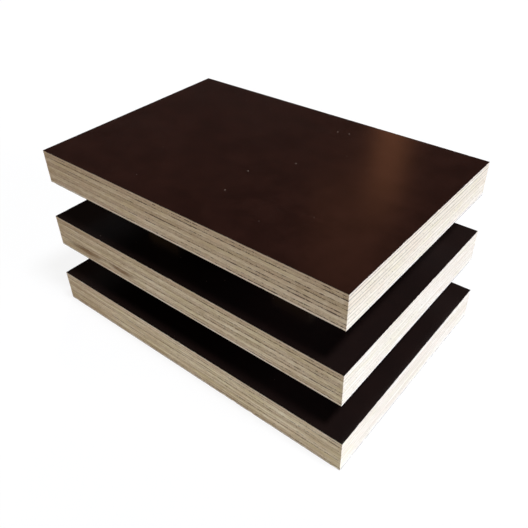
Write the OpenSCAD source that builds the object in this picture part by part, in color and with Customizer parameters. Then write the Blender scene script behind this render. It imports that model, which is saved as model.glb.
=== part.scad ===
// A stack of three film-faced plywood sheets, held apart on pairs of spacer blocks.
// Every sheet is a lay-up of veneers with their grain crossed from one ply to the next,
// between two thin resin films. X runs along the grain of the faces, Z is up, and the
// origin is on the floor at the middle of the stack. All sizes are in millimetres.

/* [Sheet] */
// Length of a sheet, along the grain of its faces
sheet_length = 180; // [140:1:400]
// Width of a sheet, across the grain of its faces
sheet_width = 120; // [90:1:300]

/* [Lay-up] */
// Thickness of the resin film on each face
film_thickness = 0.2; // [0.1:0.05:0.6]
// Thickness of each of the two face veneers
face_thickness = 1.15; // [0.6:0.05:3]
// Thickness of a cross-grain veneer
cross_thickness = 1.8; // [0.8:0.05:4]
// Thickness of a long-grain veneer inside the sheet
long_thickness = 2.65; // [1:0.05:5]
// Number of cross-grain veneers in a sheet
cross_count = 4; // [2:1:6]

/* [Stack] */
// Clear gap between the top sheet and the middle one
upper_gap = 17.3; // [8:0.1:40]
// Clear gap between the middle sheet and the bottom one
lower_gap = 14.1; // [8:0.1:40]
// How far the middle sheet lies past the top one, along the length
middle_step_x = 3.4; // [0:0.1:10]
// How far the middle sheet lies past the top one, across the width
middle_step_y = 4.6; // [0:0.1:10]
// How far the bottom sheet lies past the middle one, along the length
bottom_step_x = 4.9; // [0:0.1:10]
// How far the bottom sheet lies past the middle one, across the width
bottom_step_y = 5.4; // [0:0.1:10]

/* [Spacers] */
// Width of a spacer block, along the sheets
spacer_width = 22; // [12:1:30]
// From the ends of the middle sheet to the middle of a block
spacer_end_inset = 48; // [25:1:50]
// From the long sides of the middle sheet to the ends of a block
spacer_side_inset = 30; // [20:1:35]
// Planed bevel along the long edges of a block
spacer_bevel = 1; // [0.5:0.1:3]

/* [Hidden] */
SHEETS = ["top", "middle", "bottom"];
GAPS = ["upper", "lower"];
SIDES = ["left", "right"];

// Plies are numbered from the upper face down: odd plies run along X, even plies across
ply_count = 2 * cross_count + 1;
PLIES = [1 : ply_count];
function is_face(ply) = ply == 1 || ply == ply_count;
function is_cross(ply) = ply % 2 == 0;
function ply_kind(ply) = is_face(ply) ? "face" : is_cross(ply) ? "cross" : "long";
function ply_thickness(ply) =
    is_face(ply) ? face_thickness : is_cross(ply) ? cross_thickness : long_thickness;

// Height of a ply's underside above the underside of its sheet
function ply_z(ply) = ply == ply_count ? film_thickness : ply_z(ply + 1) + ply_thickness(ply + 1);
sheet_thickness = ply_z(1) + face_thickness + film_thickness;

// Where each sheet lies: the whole step is shared out about the middle of the stack
whole_step = [middle_step_x + bottom_step_x, -middle_step_y - bottom_step_y];
middle_step = [middle_step_x, -middle_step_y];
bottom_z = 0;
middle_z = bottom_z + sheet_thickness + lower_gap;
top_z = middle_z + sheet_thickness + upper_gap;
function sheet_xy(sheet) =
    sheet == "top" ? -whole_step / 2 : sheet == "middle" ? middle_step - whole_step / 2 : whole_step / 2;
function sheet_z(sheet) = sheet == "top" ? top_z : sheet == "middle" ? middle_z : bottom_z;

// Each pair of blocks fills its gap, from the sheet below to the sheet above
spacer_length = sheet_width - 2 * spacer_side_inset;
function gap_z(gap) = (gap == "upper" ? middle_z : bottom_z) + sheet_thickness;
function gap_height(gap) = gap == "upper" ? upper_gap : lower_gap;
function spacer_offset(side) = [(side == "left" ? -1 : 1) * (sheet_length / 2 - spacer_end_inset), 0];
function spacer_xy(side) = sheet_xy("middle") + spacer_offset(side);

function upper_film_name(sheet) = str(sheet, "_sheet_upper_film");
function lower_film_name(sheet) = str(sheet, "_sheet_lower_film");
function ply_name(sheet, ply) = str(sheet, "_sheet_ply_", ply, "_", ply_kind(ply));
function spacer_name(gap, side) = str(gap, "_spacer_", side);

FILM_COLOUR = "#2d1a16";
FACE_COLOUR = "#d8c3a2";
CROSS_COLOUR = "#c2a67e";
LONG_COLOUR = "#dccaa9";
SPACER_COLOUR = "#d9b98a";
function ply_colour(ply) = is_face(ply) ? FACE_COLOUR : is_cross(ply) ? CROSS_COLOUR : LONG_COLOUR;

// A layer of a sheet, sawn to the sheet's outline with all the others
module layer(sheet, z, thickness) {
    translate(concat(sheet_xy(sheet), sheet_z(sheet) + z))
        linear_extrude(height = thickness)
            square([sheet_length, sheet_width], center = true);
}

module upper_film(sheet) {
    color(FILM_COLOUR) layer(sheet, sheet_thickness - film_thickness, film_thickness);
}

module lower_film(sheet) {
    color(FILM_COLOUR) layer(sheet, 0, film_thickness);
}

module veneer(sheet, ply) {
    color(ply_colour(ply)) layer(sheet, ply_z(ply), ply_thickness(ply));
}

// End view of a block: a rectangle with its corners planed off
module spacer_profile(w, h, bevel) {
    polygon([
        [-w / 2 + bevel, 0], [w / 2 - bevel, 0], [w / 2, bevel], [w / 2, h - bevel],
        [w / 2 - bevel, h], [-w / 2 + bevel, h], [-w / 2, h - bevel], [-w / 2, bevel]
    ]);
}

module spacer(gap, side) {
    color(SPACER_COLOUR)
        translate(concat(spacer_xy(side), gap_z(gap)))
            rotate([90, 0, 0])
                linear_extrude(height = spacer_length, center = true)
                    spacer_profile(spacer_width, gap_height(gap), spacer_bevel);
}

for (sheet = SHEETS) {
    upper_film(sheet);
    for (ply = PLIES) veneer(sheet, ply);
    lower_film(sheet);
}
for (gap = GAPS, side = SIDES) spacer(gap, side);
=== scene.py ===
import math

import bmesh
import bpy
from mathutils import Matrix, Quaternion, Vector, noise


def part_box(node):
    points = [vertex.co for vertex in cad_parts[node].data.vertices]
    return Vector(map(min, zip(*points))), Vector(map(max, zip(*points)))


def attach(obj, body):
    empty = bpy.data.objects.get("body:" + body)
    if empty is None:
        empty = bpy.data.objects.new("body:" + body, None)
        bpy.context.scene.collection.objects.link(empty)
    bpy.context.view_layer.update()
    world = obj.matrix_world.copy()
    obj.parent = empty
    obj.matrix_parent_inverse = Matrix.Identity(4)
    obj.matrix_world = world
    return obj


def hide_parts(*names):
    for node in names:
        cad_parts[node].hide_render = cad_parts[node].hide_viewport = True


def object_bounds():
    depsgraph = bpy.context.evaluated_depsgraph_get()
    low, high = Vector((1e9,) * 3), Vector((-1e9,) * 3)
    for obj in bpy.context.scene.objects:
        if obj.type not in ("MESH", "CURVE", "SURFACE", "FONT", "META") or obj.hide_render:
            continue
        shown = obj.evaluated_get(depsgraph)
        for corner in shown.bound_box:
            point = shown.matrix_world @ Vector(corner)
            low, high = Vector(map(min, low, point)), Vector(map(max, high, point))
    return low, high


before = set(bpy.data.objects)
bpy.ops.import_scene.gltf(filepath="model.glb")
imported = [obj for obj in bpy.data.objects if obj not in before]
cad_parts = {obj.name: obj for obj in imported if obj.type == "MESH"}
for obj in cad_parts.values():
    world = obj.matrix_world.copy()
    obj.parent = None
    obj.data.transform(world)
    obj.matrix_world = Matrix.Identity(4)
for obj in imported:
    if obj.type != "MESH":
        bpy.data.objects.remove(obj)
cad_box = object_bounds()

# Long-grain veneers, the thick inner plies of each sheet. They are birch, peeled from the log and laid with
# the grain along the sheet, and dark resin glue binds them to their neighbours. One saw cut trims the whole
# lay-up, so their long edges are smooth and their ends show rough end grain.
MM = 0.001
PER_METRE = 1000  # materials are written in millimetres
SAW_STEP = 1.0 * MM  # from one point to the next along a sawn edge
SAW_MARK, SAW_MARK_PITCH = 0.012 * MM, 2.6 * MM  # the blade leaves its marks across all plies
LONG_FRAY, FRAY_PITCH = 0.02 * MM, 1.4 * MM
SMOOTH_FRAY = 0.4  # share of the fray where the saw runs along the grain
CHIP_PITCH, CHIP_RARITY = 2.2 * MM, 0.3  # a chip breaks out where noise of this pitch is above the rarity
NEAR_SIDE = Vector((MM / 4, MM / 4))  # points this near to a side of the outline lie on it
SHARP = math.radians(40)  # edges that turn by more than this stay sharp
GLUE_SEEP = 0.4 * MM  # how far the glue gets into a ply from its face
GLUE_GROOVE = 0.02 * MM  # the brittle glue line breaks out a little below the wood
STRONG_GLUE, WEAK_GLUE = 1.0, 0.68  # it takes more to the loose lower side of a cross ply
TONE_SPREAD, TONE_PITCH = 0.1, 2.7 * MM  # how much and how fast the veneers differ from one to the next
SHORT_SIDES = ("left", "right")
VENEER_MAP = {"edge": 0.8, "lower": 0.1, "upper": 0.1}  # shares of the texture's map
MAP_ROWS = 8  # the edge is folded into this many rows on the map
MAP_MARGIN = 0.05  # of a row or band, left free at its rims

ALONG = (0.07, 1, 1)  # the fibres are drawn out along the grain
LOOSE_LEAN = (0, 1, 0.7)  # the way across a ply in which its lathe checks follow each other
CHECK_SPACING, CHECK_WANDER = 1.6, 1.8  # in millimetres
WOOD_ROUGHNESS, WOOD_GLOSS, WOOD_RELIEF = 0.6, 0.3, 0.05 * MM
LONG_PALE, LONG_BROWN, LONG_END_SHADE = (247, 239, 222), (205, 188, 156), 0.3
WISP, WISP_SHIFT = (254, 247, 234), (31, 17, 5)  # shifted, so that wisps and hairs don't coincide
PINK_BIRCH, YELLOW_BIRCH = (228, 207, 182), (224, 213, 174)
END_GRAIN, PAINTED_LIGHT_END = (205, 187, 160), (254, 252, 247)
PORE = (142, 118, 90)
GLUE, GLUE_STAIN = (70, 46, 24), (158, 130, 94)
KNOT, KNOT_WOBBLE = (126, 90, 46), 1.6
KNOTS = (  # at the front of the middle sheet: the middle of each and half its sizes, in millimetres
    ((-69, -60, 36.7), (20, 26, 2.3)),
    ((-42, -60, 36.7), (13, 26, 2.3)),
)
UP = (0, 0, 1)
TOP_SHEET = (85, 70)  # heights in millimetres, from the sheet's upper face down
UPPER_PLIES = (82, 74)  # below these the glue lines are fainter on the short sides
LOWER_SHEETS = (66, 50)  # between these the top sheet ends and the middle one begins
CLEAR_CORNER = (86, -55, 85)  # in millimetres, where the glue lines are clearest
CLEAR_REACH = (20, 190)  # millimetres from there, over which they dull


class Wire:
    """An output of a node in a material. Arithmetic on it adds Math nodes to the material."""

    def __init__(self, tree, socket=None):
        self.tree = tree
        self.socket = socket

    def node(self, kind, settings=None, sockets=None, output=0):
        """Adds a node, with its settings first and then the values or links of its sockets."""
        made = self.tree.nodes.new("ShaderNode" + kind)
        for name, value in (settings or {}).items():
            setattr(made, name, value)
        for key, value in (sockets or {}).items():
            plug(made.inputs[key], value)
        return Wire(self.tree, made.outputs[output])

    def math(self, operation, *values):
        return self.node("Math", {"operation": operation}, dict(enumerate((self, *values))))

    def __add__(self, other):
        return self.math("ADD", other)

    def __sub__(self, other):
        return self.math("SUBTRACT", other)

    def __rsub__(self, other):
        return self * -1 + other

    def __mul__(self, other):
        return self.math("MULTIPLY", other)

    __radd__ = __add__
    __rmul__ = __mul__

    def ramp(self, low, high):
        """0 where this wire is at low, 1 where it is at high, and smooth between."""
        sockets = {"Value": self, "From Min": low, "From Max": high}
        return self.node("MapRange", {"interpolation_type": "SMOOTHSTEP"}, sockets)

    def vector(self, operation, other, output="Vector"):
        return self.node("VectorMath", {"operation": operation}, {0: self, 1: other}, output)

    def scaled(self, *factors):
        return self.vector("MULTIPLY", factors)

    def along(self, direction):
        """How far a place lies along a direction."""
        return self.vector("DOT_PRODUCT", direction, "Value")

    def away_from(self, point):
        return self.vector("DISTANCE", point, "Value")

    def grain(self, scale, detail=2.0, roughness=0.5, distortion=0.0):
        """Noise from 0 to 1, with about scale lumps to a millimetre."""
        sockets = {"Vector": self, "Scale": scale, "Detail": detail}
        sockets |= {"Roughness": roughness, "Distortion": distortion}
        return self.node("TexNoise", None, sockets)

    def spot(self, centre, radii):
        """1 at the middle of an egg-shaped spot, falling to 0 at its rim."""
        offset = self.vector("SUBTRACT", centre).vector("DIVIDE", radii)
        return 1 - offset.vector("LENGTH", (0, 0, 0), "Value").ramp(0.2, 1.0)

    def mix(self, under, top):
        """The colour under, with this much of the colour top laid over it."""
        return self.node("Mix", {"data_type": "RGBA"}, {0: self, 6: under, 7: top}, output=2)

    def over(self, under, top):
        """The same for colours given as a screen shows them."""
        return self.mix(*(on_screen(c) if isinstance(c, tuple) else c for c in (under, top)))

    def attribute(self, name):
        return self.node("Attribute", {"attribute_name": name}, output="Fac")

    def raised(self, strength, depth):
        """The lie of a surface that has this wire as its relief."""
        return self.node("Bump", None, {"Strength": strength, "Distance": depth, "Height": self})


def plug(socket, value):
    """Gives a socket a link or a plain value."""
    if isinstance(value, Wire):
        socket.id_data.links.new(value.socket, socket)
    else:
        socket.default_value = value


def on_screen(colour):
    """A colour that is given as a screen shows it, from 0 to 255, as Blender takes it."""
    shares = [value / 255 for value in colour]
    return (*(s / 12.92 if s <= 0.04045 else ((s + 0.055) / 1.055) ** 2.4 for s in shares), 1.0)


def new_finish(name):
    """A new material, the sockets of its shader, and the place on the piece in millimetres."""
    material = bpy.data.materials.new(name)
    material.use_nodes = True
    shader = material.node_tree.nodes["Principled BSDF"]
    place = Wire(material.node_tree).node("TexCoord", output="Object")
    return material, shader.inputs, place.scaled(PER_METRE, PER_METRE, PER_METRE)


def birch_finish(name, pale, brown, stretch, lean, end_shade, knots=()):
    """Birch veneer: streaks where the saw ran along the grain, pores and lathe checks where it cut across."""
    material, shader, place = new_finish(name)
    end = place.attribute("end_grain")
    rise = place.attribute("rise")
    short_side = place.attribute("short_side")
    height = place.along(UP)
    lower = height.ramp(*LOWER_SHEETS)
    dull = place.away_from(CLEAR_CORNER).ramp(*CLEAR_REACH) * (height.ramp(*TOP_SHEET) * 0.65 + 0.35)

    # Streaks: fibres, hairs and broader bands, stronger on the lower sheets and the bands also where the glue
    # is dull, with pale wisps, pinkish and yellowish clouds and knots laid over them
    fibre = place.scaled(*stretch).grain(1.7, 5, 0.66)
    hair = place.scaled(0.16, 0.16, 1).grain(1.9, 3, 0.7)
    band = place.scaled(0.035, 0.035, 1).grain(1.0, 3, 0.6)
    wisp = place.scaled(0.12, 0.12, 1).vector("ADD", WISP_SHIFT).grain(1.5, 3, 0.6).ramp(0.58, 0.78)
    cloud = place.scaled(0.3, 0.3, 1).grain(0.24, 2, 0.5)
    shade = fibre * 0.4 + hair * 0.5 + band * 0.35 + place.attribute("tone")
    shade = shade + (hair - 0.5) * lower * 0.25 + (band - 0.5) * (lower * 0.55 + dull * 0.3)
    # Painted light: the short sides, which face the strong light from the right, get weaker streaks and paler
    # wood
    wood = (shade.ramp(0.45, 0.8) * (1 - short_side * 0.4) + short_side * 0.28).over(brown, pale)
    wood = (wisp * 0.65).over(wood, WISP)
    wood = (cloud.ramp(0.5, 0.72) * 0.4).over(wood, PINK_BIRCH)
    wood = (cloud.ramp(0.52, 0.32) * 0.4).over(wood, YELLOW_BIRCH)
    for middle, half_sizes in knots:
        wobble = (place.grain(0.3, 3) - 0.5) * KNOT_WOBBLE
        knot = place.vector("ADD", wobble).spot(middle, half_sizes)
        wood = (knot * (fibre.ramp(0.3, 0.7) * 0.4 + 0.6)).over(wood, KNOT)

    # Ends: pores as fine specks, and lathe checks, which lean up through the ply from its loose side. On the
    # short sides the pores are painted fainter and, on the lower sheets, the ends paler: painted light for
    # the strong light from the right.
    speck = place.grain(3.0, 3, 0.6).ramp(0.5, 0.72) * end
    reach = place.along(lean) + place.grain(0.8) * CHECK_WANDER
    crack = 1 - reach.math("PINGPONG", CHECK_SPACING / 2).ramp(0.03, 0.13)
    check = crack * place.grain(0.55, 2).ramp(0.46, 0.6)
    check = check * (1 - rise.ramp(0.3, 0.85)) * end
    wood = (end * end_shade).over(wood, END_GRAIN)
    # Painted light: the short ends of the two lower sheets are lifted towards white, for the strong light on
    # them
    wood = (short_side * lower * 0.1).over(wood, PAINTED_LIGHT_END)
    wood = (speck * (0.45 - short_side * 0.25)).over(wood, PORE)
    wood = (check * 0.7).over(wood, GLUE)

    # Glue: a dark line that wavers between the two plies it binds, with breaks in it and crumbs and a stain
    # beside it, clearest near the front corner of the top sheet. On the short sides glue, crumbs and stains
    # are
    # painted faint: painted light for the strong light from the right there.
    wave = place.scaled(0.7, 0.7, 0.2).grain(1.0, 4, 0.7) - 0.5
    seep = place.attribute("glue") * (1 + (1 - rise * 2) * wave * 2.2)
    worn = place.scaled(0.07, 0.07, 0.6).grain(1.0, 2) * 0.7
    breaks = (worn + place.scaled(0.5, 0.5, 0.3).grain(1.0, 4, 0.7)).ramp(0.66, 1.02)
    line = (seep - breaks * (1.05 - short_side * 0.75) - dull * 0.55).ramp(0.02, 0.26)
    near_face = (rise - 0.5).math("ABSOLUTE").ramp(0.15, 0.5)
    crumb = place.scaled(0.7, 0.7, 1).grain(1.6, 3, 0.6).ramp(0.55, 0.66) * near_face * (1 - dull * 0.6)
    stain = seep.ramp(0.25, 0.75) * (1 - dull * 0.4)
    faint = height.ramp(*UPPER_PLIES) * 0.25 + 0.45
    wood = (crumb * (0.6 - short_side * 0.4)).over(wood, PORE)
    wood = (stain * (0.5 - short_side * 0.3)).over(wood, GLUE_STAIN)
    wood = (line * (0.92 - lower * 0.12 - short_side * faint)).over(wood, GLUE)

    plug(shader["Base Color"], wood)
    plug(shader["Roughness"], WOOD_ROUGHNESS + fibre * 0.2 + end * 0.08 - line * 0.15)
    plug(shader["Specular IOR Level"], WOOD_GLOSS)
    relief = fibre * 0.5 - speck * 0.6 - check - line * 0.7
    plug(shader["Normal"], relief.raised(0.7, WOOD_RELIEF))
    return material


def round_outline(point, low, high):
    """How far a point lies round the outline from its front left corner, the whole way, and its side."""
    length, width = high.x - low.x, high.y - low.y
    x = min(max(point.x - low.x, 0), length)
    y = min(max(point.y - low.y, 0), width)
    away = {"front": y, "right": length - x, "back": width - y, "left": x}
    run = {"front": x, "right": length + y, "back": 2 * length + width - x, "left": 2 * (length + width) - y}
    side = min(away, key=away.get)
    return run[side], 2 * (length + width), side


def lies_flat(face):
    return abs(face.normal.z) > 0.5


def lay_map(bm, low, high, shares):
    """Unwraps a layer into three bands of a map: its edge, folded into rows, and its two faces."""
    layer = bm.loops.layers.uv.new("OFBake")
    row_height = shares["edge"] / MAP_ROWS
    for face in bm.faces:
        flat = lies_flat(face)
        if flat:
            is_upper = face.normal.z > 0
            bottom = shares["edge"] + (shares["lower"] if is_upper else 0)
            height = shares["upper" if is_upper else "lower"]
        else:
            run, whole = round_outline(face.calc_center_median(), low, high)[:2]
            row = int(run / whole * MAP_ROWS)
            bottom, height = row * row_height, row_height
        for loop in face.loops:
            place = loop.vert.co
            if flat:
                across = (place.x - low.x) / (high.x - low.x)
                up = (place.y - low.y) / (high.y - low.y)
            else:
                ahead = (round_outline(place, low, high)[0] - run + whole / 2) % whole - whole / 2
                across = (run + ahead) / whole * MAP_ROWS - row
                up = (place.z - low.z) / (high.z - low.z)
            inside = [MAP_MARGIN + (1 - 2 * MAP_MARGIN) * share for share in (across, up)]
            loop[layer].uv = (inside[0], bottom + height * inside[1])


def put_in_scene(name, data):
    """A new object with this data, at the origin."""
    made = bpy.data.objects.new(name, data)
    bpy.context.scene.collection.objects.link(made)
    return made


def finished_mesh(name, bm):
    """A new object with the mesh that was modelled in bm."""
    mesh = bpy.data.meshes.new(name)
    bm.to_mesh(mesh)
    bm.free()
    return put_in_scene(name, mesh)


def sawn_layer(name, node, levels, shares, fray, ends=(), chip=0.0, paler=0.0):
    """A layer of a sheet as the saw leaves it. The levels up its edge are (height, recess, glue)."""
    low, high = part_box(node)
    size, middle = high - low, (high + low) / 2
    bm = bmesh.new()
    glue = bm.verts.layers.float.new("glue")
    rise = bm.verts.layers.float.new("rise")
    end_grain = bm.faces.layers.float.new("end_grain")
    short_side = bm.faces.layers.float.new("short_side")
    tone = bm.faces.layers.float.new("tone")
    steps = [round(length / SAW_STEP) for length in size.xy]
    bmesh.ops.create_grid(bm, x_segments=steps[0], y_segments=steps[1], size=0.5)
    bmesh.ops.dissolve_faces(bm, faces=bm.faces[:])
    bmesh.ops.scale(bm, vec=(size.x, size.y, 1), verts=bm.verts[:])
    bmesh.ops.translate(bm, vec=(middle.x, middle.y, low.z), verts=bm.verts[:])
    rings = [bm.verts[:]]
    lid = bm.faces[:]
    for below, above in zip(levels, levels[1:]):
        grown = bmesh.ops.extrude_face_region(bm, geom=lid)["geom"]
        rings.append([part for part in grown if isinstance(part, bmesh.types.BMVert)])
        lid = [part for part in grown if isinstance(part, bmesh.types.BMFace)]
        bmesh.ops.translate(bm, vec=(0, 0, above[0] - below[0]), verts=rings[-1])
    bmesh.ops.recalc_face_normals(bm, faces=bm.faces[:])

    own_tone = paler + TONE_SPREAD * noise.noise(Vector((low.z / TONE_PITCH, 0.5, 0.5)))
    for face in bm.faces:
        side = round_outline(face.calc_center_median(), low, high)[2]
        face[end_grain] = float(side in ends and not lies_flat(face))
        face[short_side] = float(side in SHORT_SIDES)
        face[tone] = own_tone
        face.smooth = not lies_flat(face)
    for edge in bm.edges:
        edge.smooth = edge.calc_face_angle(0) < SHARP
    lay_map(bm, low, high, shares)

    # The saw's marks, the fray of the fibres and the chips go inwards from the outline
    inner_low, inner_high = low.xy + NEAR_SIDE, high.xy - NEAR_SIDE
    for (height, recess, seep), ring in zip(levels, rings):
        for point in ring:
            run, whole, side = round_outline(point.co, low, high)
            point[glue] = seep
            point[rise] = height / size.z
            angle = math.tau * run / whole
            way = Vector((math.cos(angle), math.sin(angle), 0)) * whole / math.tau
            depth = recess + SAW_MARK * (1 + noise.noise(way / SAW_MARK_PITCH))
            depth += fray * (1 if side in ends else SMOOTH_FRAY) * (1 + noise.noise(point.co / FRAY_PITCH))
            depth += chip * max(0, noise.noise(way / CHIP_PITCH + Vector((0, 0, low.z / MM))) - CHIP_RARITY)
            inward = [(p <= l) - (p >= h) for p, l, h in zip(point.co.xy, inner_low, inner_high)]
            point.co += depth * Vector((*inward, 0))
    return finished_mesh(name, bm)


def edge_levels(node, lower_glue, upper_glue):
    """The levels up a veneer's edge, with glue seeping in from its lower and its upper face."""
    low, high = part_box(node)
    thickness = high.z - low.z
    return [
        (0, GLUE_GROOVE, lower_glue),
        (GLUE_SEEP, 0, 0),
        (thickness / 2, 0, 0),
        (thickness - GLUE_SEEP, 0, 0),
        (thickness, GLUE_GROOVE, upper_glue),
    ]


def fit(piece, node, finish):
    """Puts a finished piece in the place of its node."""
    piece.data.materials.append(finish)
    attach(piece, "root")
    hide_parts(node)


long_birch = birch_finish("long_birch", LONG_PALE, LONG_BROWN, ALONG, LOOSE_LEAN, LONG_END_SHADE, KNOTS)
for node in sorted(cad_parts):
    if node.endswith("_long"):
        levels = edge_levels(node, WEAK_GLUE, STRONG_GLUE)
        veneer = sawn_layer(node + "_veneer", node, levels, VENEER_MAP, LONG_FRAY, SHORT_SIDES)
        fit(veneer, node, long_birch)

# Cross-grain veneers, the even plies. They are thinner birch veneers laid with the grain across the sheet,
# so that it stays flat. The long edges of the sheet cut across their fibres, which fray a little and look
# darker than the plies beside them.
CROSS_FRAY = 0.035 * MM
CROSS_PALE, CROSS_BROWN, CROSS_END_SHADE = (243, 233, 215), (199, 181, 149), 0.25
ACROSS = (1, 0.07, 1)
CROSS_LEAN = (1, 0, 0.7)
LONG_SIDES = ("front", "back")
cross_birch = birch_finish("cross_birch", CROSS_PALE, CROSS_BROWN, ACROSS, CROSS_LEAN, CROSS_END_SHADE)
for node in sorted(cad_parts):
    if node.endswith("_cross"):
        levels = edge_levels(node, STRONG_GLUE, WEAK_GLUE)
        veneer = sawn_layer(node + "_veneer", node, levels, VENEER_MAP, CROSS_FRAY, LONG_SIDES)
        fit(veneer, node, cross_birch)

# Face veneers, the thin outer plies. They are the palest birch of the sheet, laid with the grain along it
# and hot-pressed under the film, which leaves only a faint line of resin at their outer side.
FILM_LINE = 0.3
UPPER_TONE, LOWER_TONE = -0.12, 0.12  # painted light: the lower face veneer is made the paler of the two, for the floor's light on each sheet's lower arris
FACE_PALE, FACE_BROWN, FACE_END_SHADE = (250, 244, 233), (214, 199, 176), 0.25
face_birch = birch_finish("face_birch", FACE_PALE, FACE_BROWN, ALONG, LOOSE_LEAN, FACE_END_SHADE)
for node in sorted(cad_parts):
    if node.endswith("_face"):
        is_upper = "_ply_1_" in node
        glue_lines = (WEAK_GLUE, FILM_LINE) if is_upper else (FILM_LINE, STRONG_GLUE)
        levels = edge_levels(node, *glue_lines)
        paler = UPPER_TONE if is_upper else LOWER_TONE
        veneer = sawn_layer(node + "_veneer", node, levels, VENEER_MAP, LONG_FRAY, SHORT_SIDES, paler=paler)
        fit(veneer, node, face_birch)

# Films, the dark brown faces of each sheet. They are paper soaked in phenolic resin, cured on the face
# veneers in the hot press to a smooth half-gloss skin, and the saw chips their brittle arris here and there.
FILM_ARRIS = 0.06 * MM
FILM_FRAY = 0.01 * MM
FILM_CHIP = 0.5 * MM
UPPER_FILM_MAP = {"edge": 0.1, "lower": 0.05, "upper": 0.85}
LOWER_FILM_MAP = {"edge": 0.1, "lower": 0.85, "upper": 0.05}
FILM_ROUGHNESS, FILM_GLOSS, FILM_RELIEF = 0.16, 0.27, 0.02 * MM
FILM_BROWN, FILM_DEEP = (41, 22, 17), (32, 16, 12)
FILM_PAINTED_SHADE, FILM_PAINTED_SHADE_SHARE = (23, 19, 18), 0.7  # painted shade: the films of the two lower sheets, shaded by the sheets above, are made blacker
DUST, DUST_COVER = (150, 136, 124), 0.7
DUST_GRAIN = (0.45, 0.45, 0.3)
DUST_SPECKS = ((11.7, 49.3), (17.7, 50.8), (14.7, 9.5), (1.2, -9.5), (4.2, -28.7))  # on the top sheet
FINE_DUST = 0.11  # specks to a millimetre each way


def film_finish(top):
    """Resin film: brown mottled paper under a half-gloss skin, with the grain below it just showing."""
    material, shader, place = new_finish("resin_film")
    mottle = place.grain(0.09, 3, 0.55)
    fleck = place.grain(1.3, 3, 0.6)
    streak = place.scaled(0.04, 1, 1).grain(0.8, 3, 0.55)
    smudge = place.scaled(0.6, 1, 1).grain(0.035, 3, 0.6, 1.2).ramp(0.5, 0.72)
    dust = place.node("TexVoronoi", None, {"Vector": place, "Scale": FINE_DUST}, output="Distance")
    dust = (1 - dust.ramp(0.012, 0.03)) * 0.4
    for along, across in DUST_SPECKS:
        dust = dust + place.spot((along, across, top), DUST_GRAIN)
    film = (mottle * 0.55 + fleck * 0.25 + streak * 0.2).ramp(0.35, 0.65).over(FILM_DEEP, FILM_BROWN)
    # Painted shade: the films of the two lower sheets are mixed towards black, for the shade of the sheets
    # above them
    film = (place.along(UP).ramp(*LOWER_SHEETS) * FILM_PAINTED_SHADE_SHARE).over(film, FILM_PAINTED_SHADE)
    film = (dust * DUST_COVER).over(film, DUST)
    plug(shader["Base Color"], film)
    plug(shader["Roughness"], FILM_ROUGHNESS + fleck * 0.04 + smudge * 0.03 + dust * 0.3)
    plug(shader["Specular IOR Level"], FILM_GLOSS)
    plug(shader["Normal"], (fleck * 0.4 + streak).raised(0.25, FILM_RELIEF))
    return material


resin_film = film_finish(cad_box[1].z * PER_METRE)
for node in sorted(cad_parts):
    if node.endswith("_film"):
        low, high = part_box(node)
        thickness = high.z - low.z
        levels = [(0, 0, 0), (thickness - FILM_ARRIS, 0, 0), (thickness, FILM_ARRIS, 0)]
        shares = UPPER_FILM_MAP
        if node.endswith("_lower_film"):
            levels = [(thickness - height, recess, seep) for height, recess, seep in reversed(levels)]
            shares = LOWER_FILM_MAP
        skin = sawn_layer(node + "_skin", node, levels, shares, FILM_FRAY, chip=FILM_CHIP)
        fit(skin, node, resin_film)

# Spacer blocks, which hold the sheets apart. They are short lengths of planed softwood, cut square at the
# ends with their long arrises planed off, and the sheets only rest on them.
SPACER_BEVEL = 1.0 * MM
SPACER_EASE = 0.15 * MM
PINE, PINE_LATE, PINE_END = (228, 204, 166), (203, 164, 116), (150, 128, 100)
PINE_END_SHADE = 0.65
PINE_ROUGHNESS, PINE_RELIEF = 0.55, 0.05 * MM
YEAR_RINGS = 9


def pine_finish():
    """Planed softwood: pale early wood with harder, browner late wood in bands along the block."""
    material, shader, place = new_finish("pine")
    band = place.scaled(1, 0.02, 1).grain(0.35, 2, 0.5, 0.4)
    fibre = place.scaled(1, 0.06, 1).grain(2.2, 4, 0.6)
    late = (band * YEAR_RINGS).math("FRACT").ramp(0.35, 0.9) * 0.75
    wood = late.over(PINE, PINE_LATE)
    wood = (fibre.ramp(0.5, 0.8) * 0.25).over(wood, PORE)
    wood = (place.attribute("end_grain") * PINE_END_SHADE).over(wood, PINE_END)
    plug(shader["Base Color"], wood)
    plug(shader["Roughness"], PINE_ROUGHNESS + fibre * 0.2)
    plug(shader["Normal"], (fibre + late * 0.6).raised(0.4, PINE_RELIEF))
    return material


pine = pine_finish()
for node in sorted(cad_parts):
    if "_spacer_" in node:
        low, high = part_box(node)
        bm = bmesh.new()
        bmesh.ops.create_cube(bm, size=1)
        bmesh.ops.scale(bm, vec=high - low, verts=bm.verts[:])
        bmesh.ops.translate(bm, vec=(low + high) / 2, verts=bm.verts[:])
        long_edges = [e for e in bm.edges if abs(e.verts[0].co.y - e.verts[1].co.y) > MM]
        bevel = {"affect": "EDGES", "profile": 0.5, "material": -1}
        bmesh.ops.bevel(bm, geom=long_edges, offset=SPACER_BEVEL, segments=1, **bevel)
        bmesh.ops.bevel(bm, geom=bm.edges[:], offset=SPACER_EASE, segments=2, **bevel)
        end_grain = bm.faces.layers.float.new("end_grain")
        for face in bm.faces:
            face[end_grain] = float(abs(face.normal.y) > 0.5)
        fit(finished_mesh(node + "_block", bm), node, pine)

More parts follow.
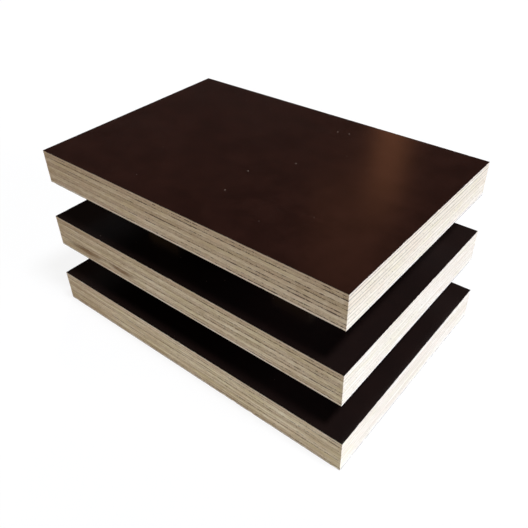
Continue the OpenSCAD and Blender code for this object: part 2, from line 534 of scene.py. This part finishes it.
# The floor, a plain pale sheet that the stack stands on. The eye sees it near white, with the soft shadow
# of the stack. For the light that it throws back on the wood it is brightest just in front of the stack,
# most of all near the front corner, and dimmer everywhere else.
FLOOR_SIZE = 60.0
FLOOR_NEAR = (0.76, 0.84, 0.79, 1.0)
FLOOR_FAR = (0.26, 0.27, 0.26, 1.0)
NEAR_MIDDLE, NEAR_REACH = (68, -80, 0), (70, 230)  # in millimetres
BACKWARDS = (0, 1, 0)
FRONT_STRIP = (-45, -75)  # the same, from under the stack's front edge outwards
FLOOR_ROUGHNESS = 0.9
WHITE = (1.0, 1.0, 1.0, 1.0)
FLOOR_GLOW = 0.88


def seen_rays(wire):
    """1 for what is seen straight, in a gloss or through something, and 0 for what only gives light."""
    rays = [wire.node("LightPath", output=f"Is {ray} Ray") for ray in ("Camera", "Glossy", "Transmission")]
    return rays[0].math("MAXIMUM", rays[1]).math("MAXIMUM", rays[2])


bm = bmesh.new()
bmesh.ops.create_grid(bm, x_segments=1, y_segments=1, size=FLOOR_SIZE / 2)
floor = finished_mesh("floor", bm)
pale_floor, shader, place = new_finish("pale_floor")
seen = seen_rays(place)
far = place.away_from(NEAR_MIDDLE).ramp(*NEAR_REACH)
front = place.along(BACKWARDS).ramp(*FRONT_STRIP)
bounce = (front * (1 - far)).mix(FLOOR_FAR, FLOOR_NEAR)
plug(shader["Base Color"], seen.mix(bounce, WHITE))
plug(shader["Roughness"], FLOOR_ROUGHNESS)
plug(shader["Specular IOR Level"], 0.0)
nodes = pale_floor.node_tree.nodes
lit = Wire(pale_floor.node_tree, nodes["Principled BSDF"].outputs["BSDF"])
glow = lit.node("Emission", None, {"Color": WHITE, "Strength": 1.0})
surface = lit.node("MixShader", None, {0: seen * FLOOR_GLOW, 1: lit, 2: glow})
plug(nodes["Material Output"].inputs["Surface"], surface)
floor.data.materials.append(pale_floor)

# The light: a broad low lamp from the right for the short ends, one from above, a weak warm one from the
# front for the long edges and one from behind. Two panels far behind leave soft gleams on the top film, and
# the dim room pales towards the horizon.
LAMPS = {  # where the light comes from, its level, its tint, and its spread in degrees
    "key_lamp": ((0.96, 0.17, 0.19), 0.835, (1.0, 1.1, 1.39), 24),
    "overhead_lamp": ((0.4, 0.09, 1.0), 0.82, (1.0, 1.04, 1.1), 12),
    "fill_lamp": ((-0.15, -0.98, 0.1), 0.18, (1.0, 0.6, 0.33), 14),
    "back_lamp": ((-0.6, 0.75, 0.3), 0.4, (1.0, 0.97, 0.9), 10),
}
GLEAMING = ("key_lamp", "fill_lamp")  # the others leave no gleam of their own on the film
PANELS = {  # place and size in metres, and power in watts
    "gleam_lamp": ((-0.385, 0.9, 0.54), (0.07, 0.3), 0.064),
    "sheen_lamp": ((-0.41, 0.77, 0.76), (0.16, 0.3), 0.045),
}
PANEL_TINT = (1.0, 0.38, 0.17)
ROOM_DIM = (0.025, 0.018, 0.015, 1.0)
PALE_UP_TO, DIM_FROM = 0.1, 0.22  # heights on a sphere of one metre round the stack


def light_from(lamp, direction):
    """Turns a lamp so that its light comes from this direction."""
    lamp.rotation_mode = "QUATERNION"
    lamp.rotation_quaternion = Vector(direction).to_track_quat("Z", "Y")


for name, (comes_from, light_level, tint, spread) in LAMPS.items():
    sun = bpy.data.lights.new(name, "SUN")
    sun.energy = light_level * math.pi
    sun.color = tint
    sun.angle = math.radians(spread)
    lamp = put_in_scene(name, sun)
    lamp.visible_glossy = name in GLEAMING
    light_from(lamp, comes_from)

for name, (stands_at, panel_size, power) in PANELS.items():
    panel = bpy.data.lights.new(name, "AREA")
    panel.shape = "RECTANGLE"
    panel.size, panel.size_y = panel_size
    panel.energy = power
    panel.color = PANEL_TINT
    lamp = put_in_scene(name, panel)
    lamp.location = stands_at
    light_from(lamp, lamp.location - Vector((0, 0, cad_box[1].z)))

world = bpy.data.worlds.new("room")
world.use_nodes = True
bpy.context.scene.world = world
direction = Wire(world.node_tree).node("TexCoord", output="Generated")
horizon = direction.along(UP).ramp(DIM_FROM, PALE_UP_TO)
straight = direction.node("LightPath", output="Is Camera Ray")
room = (horizon * seen_rays(direction)).math("MAXIMUM", straight).mix(ROOM_DIM, WHITE)
plug(world.node_tree.nodes["Background"].inputs["Color"], room)

# The camera, at the photograph's place and angle, for a square picture. Its lens and its slight roll come
# from a fit to the corners and edges of the sheets.
CAMERA_PLACE = Vector((0.1653, -0.1946, 0.2216))
CAMERA_AIM = Vector((0.0162, -0.0176, 0.0425))
CAMERA_ROLL = math.radians(-1.55)
camera = bpy.data.cameras.new("camera")
camera.lens = 41.15
camera.sensor_width = 36.0
camera.clip_start = 0.01
eye = put_in_scene("camera", camera)
eye.location = CAMERA_PLACE
eye.rotation_mode = "QUATERNION"
upright = (CAMERA_AIM - CAMERA_PLACE).to_track_quat("-Z", "Y")
eye.rotation_quaternion = upright @ Quaternion((0, 0, 1), CAMERA_ROLL)
bpy.context.scene.camera = eye
bpy.context.scene.view_settings.view_transform = "Standard"
